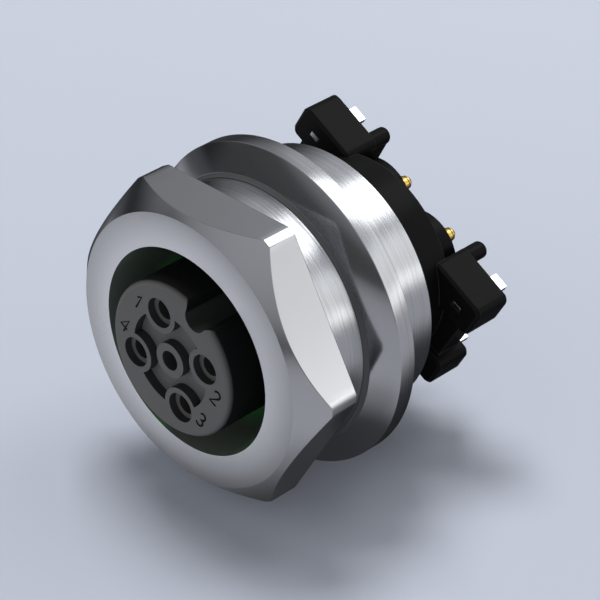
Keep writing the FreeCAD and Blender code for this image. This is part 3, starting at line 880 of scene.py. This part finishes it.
def buildPegRibs():
    # a small wedge stiffens each locating peg from the lobe behind it
    s = ribSizes
    bm = bmesh.new()
    for side in (-1, 1):
        across = Vector((-side * s["inSide"], -s["inHigh"])).normalized()
        normal = Vector((-across.y, across.x)) * s["halfThick"]
        inner = Vector((side * s["side"], s["high"])) + across * s["reach"]
        outer = Vector((side * s["side"], s["high"]))
        rings = []
        for sign in (-1, 1):
            shift = normal * sign
            corners = [(outer, s["front"]), (outer, s["tip"]), (outer + across * s["peg"], s["tip"]),
                       (inner, s["board"]), (inner, s["front"])]
            rings.append([bm.verts.new(keyed(place.x + shift.x, y, place.y + shift.y))
                          for place, y in corners])
        bm.faces.new(rings[0])
        bm.faces.new(rings[1])
        for index in range(len(corners)):
            other = (index + 1) % len(corners)
            bm.faces.new((rings[0][index], rings[0][other], rings[1][other], rings[1][index]))
    bmesh.ops.recalc_face_normals(bm, faces=bm.faces)
    bmesh.ops.bevel(bm, geom=list(bm.edges), offset=s["rounding"] * mm, segments=2, affect="EDGES")
    ribs = linkPiece("pegRibs", meshFrom(bm, "pegRibs", carrierPlastic))
    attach(ribs, "contact_unit")


numberSizes = {
    "height": 0.86, "width": 0.48, "halfWidth": 0.068, "depth": 0.030,
    "beside": 3.02, "above": 1.03,
}


def arcPoints(cx, cy, rx, ry, first, last, steps=9):
    # part of an ellipse, from the first to the last angle in degrees
    turns = [math.radians(first + (last - first) * i / steps) for i in range(steps + 1)]
    return [(cx + rx * math.cos(turn), cy + ry * math.sin(turn)) for turn in turns]


def buildNumbers():
    s = numberSizes
    w, h = s["width"], s["height"]
    glyphs = {
        "1": [[(-0.30 * w, 0.22 * h), (0.08 * w, 0.5 * h), (0.08 * w, -0.5 * h)]],
        "2": [arcPoints(0.0, 0.24 * h, 0.42 * w, 0.26 * h, 160, -35)
              + [(-0.45 * w, -0.5 * h), (0.48 * w, -0.5 * h)]],
        "3": [arcPoints(-0.02 * w, 0.25 * h, 0.38 * w, 0.25 * h, 150, -90)
              + arcPoints(-0.02 * w, -0.24 * h, 0.44 * w, 0.26 * h, 90, -150, 10)[1:]],
        "4": [[(0.22 * w, -0.5 * h), (0.22 * w, 0.5 * h), (-0.5 * w, -0.18 * h), (0.5 * w, -0.18 * h)]],
    }
    places = {"1": (-s["beside"], s["above"]), "2": (s["beside"], s["above"]),
              "3": (s["beside"], -s["above"]), "4": (-s["beside"], -s["above"])}
    points, edges = [], []
    for digit, strokes in glyphs.items():
        u0, v0 = places[digit]
        for stroke in strokes:
            first = len(points)
            points += [keyed(u0 + u, keyFrame["face"] + s["depth"], v0 + v) for u, v in stroke]
            edges += [(first + i, first + i + 1) for i in range(len(stroke) - 1)]
    mesh = bpy.data.meshes.new("numberPaths")
    mesh.from_pydata(points, edges, [])
    numbers = applyTree("contactNumbers", mesh, strokeTree,
                        {"halfWidth": s["halfWidth"] * mm, "finish": numberGroove})
    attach(numbers, "contact_unit")


buildContacts()
buildSleeves()
buildHoldPins()
buildPegRibs()
buildNumbers()
print("contacts, sleeves, pins and numbers made")


# CAD nodes that keep their own surface

for nodeName, material in {"well_seal": greenSeal, "contact_retainer": insertPlastic,
                           "sealing_mat": blackSeal, "carrier_seal": blackSeal}.items():
    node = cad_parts[nodeName]
    node.data.materials.clear()
    node.data.materials.append(material)


# stage, light and camera

stageSizes = {
    "floorZ": -8.56, "half": 900.0, "shownGlow": 0.03, "glossGlow": 0.30, "floorRough": 0.9,
    "floorColour": (0.575, 0.615, 0.71), "glossColour": (0.60, 0.61, 0.66),
    "fadeCentre": (-26.0, -26.0, -8.56), "fadeEnd": 160.0,
    # painted light levels of the floor in gloss, by distance from fadeCentre
    "fade": [(0.0, 0.79), (16.0, 0.79), (24.0, 0.80), (29.0, 0.75), (34.0, 0.68), (41.0, 0.54),
             (160.0, 0.45)],
    # painted shadow on the floor seen in gloss: behind, under, far left and near the head
    "paintedShadowColour": (0.03, 0.031, 0.034), "rearFrom": -1.0, "rearTo": 6.0, "underFrom": 12.0, "underTo": 24.0,
    "outward": (-1.0, 0.0, 0.0), "outFrom": 45.0, "outTo": 100.0, "outShare": 0.85,
    "contact": (4.0, 4.0, -8.56), "contactFrom": 5.0, "contactTo": 9.0, "contactShare": 0.8,
}


def smoothRange(tree, source, first, last, low=0.0, high=1.0):
    node = addNode(tree, "ShaderNodeMapRange", {"interpolation_type": "SMOOTHSTEP"},
                   From_Min=first, From_Max=last, To_Min=low, To_Max=high)
    tree.links.new(source, node.inputs["Value"])
    return node.outputs["Result"]


def buildFloor():
    s = stageSizes
    half = s["half"] * mm
    mesh = bpy.data.meshes.new("floor")
    z = s["floorZ"] * mm
    mesh.from_pydata([(-half, -half, z), (half, -half, z), (half, half, z), (-half, half, z)], [],
                     [(0, 1, 2, 3)])
    material, tree, shader = newMaterial("paleFloor", Base_Color=(*s["floorColour"], 1.0),
                                         Roughness=s["floorRough"])
    shader.inputs["Specular IOR Level"].default_value = 0.0
    path = addNode(tree, "ShaderNodeLightPath")
    # the floor glows for gloss rays, in the colour with its painted light and shadow
    glow = mathNode(tree, "MULTIPLY", path.outputs["Is Glossy Ray"], s["glossGlow"])
    tree.links.new(mathNode(tree, "MULTIPLY_ADD", path.outputs["Is Camera Ray"], s["shownGlow"], glow),
                   shader.inputs["Emission Strength"])
    place = addNode(tree, "ShaderNodeTexCoord")

    def fromPlace(operation, point, output="Value"):
        node = addNode(tree, "ShaderNodeVectorMath", {"operation": operation})
        node.inputs[1].default_value = point
        wire(tree, place, node, "Object")
        return node.outputs[output]

    # painted light: gloss sees the floor painted lighter or darker with the distance from a point in front
    away = fromPlace("DISTANCE", tuple(part * mm for part in s["fadeCentre"]))
    share = mathNode(tree, "MULTIPLY", away, 1.0 / (s["fadeEnd"] * mm))
    paintedGlossFade = rampNode(tree, share, [(at / s["fadeEnd"], tuple(part * level for part in s["glossColour"]))
                                   for at, level in s["fade"]])
    # and a painted shadow under the nut and behind it, far out on the left and close to where the head
    # stands
    split = addNode(tree, "ShaderNodeSeparateXYZ")
    wire(tree, place, split, "Object")
    rear = smoothRange(tree, split.outputs["Y"], s["rearFrom"] * mm, s["rearTo"] * mm)
    under = smoothRange(tree, split.outputs["X"], s["underTo"] * mm, s["underFrom"] * mm)
    far = smoothRange(tree, fromPlace("DOT_PRODUCT", s["outward"]), s["outFrom"] * mm, s["outTo"] * mm,
                      0.0, s["outShare"])
    close = smoothRange(tree, fromPlace("DISTANCE", tuple(part * mm for part in s["contact"])),
                        s["contactTo"] * mm, s["contactFrom"] * mm, 0.0, s["contactShare"])
    paintedShadow = mathNode(tree, "MULTIPLY", rear, under)
    paintedShadow = mathNode(tree, "MAXIMUM", mathNode(tree, "MAXIMUM", paintedShadow, far), close)
    seen = blendColours(tree, paintedShadow, paintedGlossFade, s["paintedShadowColour"])
    colourOut = blendColours(tree, path.outputs["Is Glossy Ray"], s["floorColour"], seen)
    tree.links.new(colourOut, shader.inputs["Base Color"])
    tree.links.new(colourOut, shader.inputs["Emission Color"])
    mesh.materials.append(material)
    floor = linkPiece("floor", mesh)


skyTones = {
    "back": (0.06, 0.062, 0.066), "side": (0.20, 0.203, 0.21), "front": (1.30, 1.31, 1.32), "drop": 0.88,
    "behind": [(0.0, (0.03, 0.031, 0.034)), (0.14, (0.05, 0.052, 0.056)), (0.40, (0.29, 0.30, 0.315)),
               (0.62, (0.40, 0.41, 0.43)), (0.80, (0.33, 0.34, 0.36)), (1.0, (0.30, 0.31, 0.33))],
    "before": [(0.0, (0.055, 0.056, 0.058)), (0.23, (0.065, 0.066, 0.068)), (0.42, (0.24, 0.244, 0.255)),
               (0.70, (0.36, 0.37, 0.39)), (1.0, (0.46, 0.48, 0.51))],
    "skew": 0.3, "diagonal": 0.7071, "stepFrom": -0.08, "stepTo": 0.12, "leftShare": 0.60,
    "rightShare": 1.22, "aheadFrom": -0.30, "aheadTo": -0.56,
}


def buildSky():
    # soft light, most of it from the front; gloss sees gradients that are dark at the horizon
    s = skyTones
    world = bpy.data.worlds.new("studio")
    bpy.context.scene.world = world
    world.use_nodes = True
    tree = world.node_tree
    tree.nodes.clear()
    place = addNode(tree, "ShaderNodeTexCoord")
    split = addNode(tree, "ShaderNodeSeparateXYZ")
    wire(tree, place, split, "Generated")
    x, y, z = split.outputs
    behind = rampNode(tree, z, s["behind"])
    before = rampNode(tree, mathNode(tree, "MULTIPLY_ADD", x, s["skew"], z), s["before"])
    sideways = mathNode(tree, "MULTIPLY", mathNode(tree, "ADD", x, y), s["diagonal"])
    leftDark = smoothRange(tree, sideways, s["stepFrom"], s["stepTo"], s["leftShare"], s["rightShare"])
    ahead = smoothRange(tree, y, s["aheadFrom"], s["aheadTo"])
    scaled = addNode(tree, "ShaderNodeVectorMath", {"operation": "SCALE"})
    tree.links.new(behind, scaled.inputs[0])
    tree.links.new(leftDark, scaled.inputs["Scale"])
    gloss = blendColours(tree, ahead, scaled.outputs["Vector"], before)
    # y runs from 1 at the back to -1 at the front, and the ramp from 0 to 1
    soft = rampNode(tree, mathNode(tree, "MULTIPLY_ADD", y, -0.5, 0.5), [
        (0.0, s["back"]), (0.5, s["side"]), (1.0, s["front"])])
    plain = addNode(tree, "ShaderNodeBackground")
    tree.links.new(soft, plain.inputs["Color"])
    tree.links.new(mathNode(tree, "MULTIPLY_ADD", z, -s["drop"], 1.0), plain.inputs["Strength"])
    shown = addNode(tree, "ShaderNodeBackground", Color=(*stageSizes["floorColour"], 1.0), Strength=1.0)
    mirror = addNode(tree, "ShaderNodeBackground", Strength=1.0)
    tree.links.new(gloss, mirror.inputs["Color"])
    path = addNode(tree, "ShaderNodeLightPath")
    first = addNode(tree, "ShaderNodeMixShader")
    second = addNode(tree, "ShaderNodeMixShader")
    end = addNode(tree, "ShaderNodeOutputWorld")
    wire(tree, path, first, "Is Glossy Ray", 0)
    wire(tree, plain, first, 0, 1)
    wire(tree, mirror, first, 0, 2)
    wire(tree, path, second, "Is Camera Ray", 0)
    wire(tree, first, second, 0, 1)
    wire(tree, shown, second, 0, 2)
    wire(tree, second, end, 0, "Surface")


softBoxes = {
    "overhead": {"towards": (-0.32, 0.20, 0.93), "distance": 420.0, "size": (170.0, 170.0), "power": 1.20,
                 "inGloss": False},  # casts the shadow, and the metal doesn't mirror it
    "keyUpper": {"towards": (0.11, 0.60, 0.80), "distance": 260.0, "size": (130.0, 170.0), "power": 0.140},
    "keyRight": {"towards": (0.74, 0.60, 0.30), "distance": 260.0, "size": (190.0, 170.0), "power": 0.062},
    "keyLow": {"towards": (0.78, 0.60, 0.13), "distance": 260.0, "size": (150.0, 36.0), "power": 0.015},
}


def buildLights():
    for name, box in softBoxes.items():
        light = bpy.data.lights.new(name, "AREA")
        light.shape = "RECTANGLE"
        light.size, light.size_y = (side * mm for side in box["size"])
        light.energy = box["power"]
        lamp = bpy.data.objects.new(name, light)
        lamp.visible_glossy = box.get("inGloss", True)
        bpy.context.scene.collection.objects.link(lamp)
        direction = Vector(box["towards"]).normalized()
        lamp.location = direction * box["distance"] * mm
        lamp.rotation_euler = direction.to_track_quat("Z", "Y").to_euler()


cameraFit = {
    "azimuth": 44.781, "elevation": 33.02, "lens": 167.97, "sensor": 36.0,
    "place": (82.04, -77.87, 75.08), "clipStart": 0.005, "clipEnd": 20.0,
}


def buildCamera():
    s = cameraFit
    az, el = math.radians(s["azimuth"]), math.radians(s["elevation"])
    right = Vector((math.cos(az), math.sin(az), 0.0))
    back = Vector((math.sin(az) * math.cos(el), -math.cos(az) * math.cos(el), math.sin(el)))
    up = back.cross(right)
    data = bpy.data.cameras.new("photoView")
    data.lens = s["lens"]
    data.sensor_width = s["sensor"]
    data.clip_start = s["clipStart"]
    data.clip_end = s["clipEnd"]
    camera = bpy.data.objects.new("photoView", data)
    bpy.context.scene.collection.objects.link(camera)
    camera.matrix_world = Matrix((
        (right.x, up.x, back.x, s["place"][0] * mm),
        (right.y, up.y, back.y, s["place"][1] * mm),
        (right.z, up.z, back.z, s["place"][2] * mm),
        (0.0, 0.0, 0.0, 1.0)))
    bpy.context.scene.camera = camera


buildFloor()
buildSky()
buildLights()
buildCamera()
bpy.context.scene.view_settings.view_transform = "Standard"
print("stage, light and camera set")
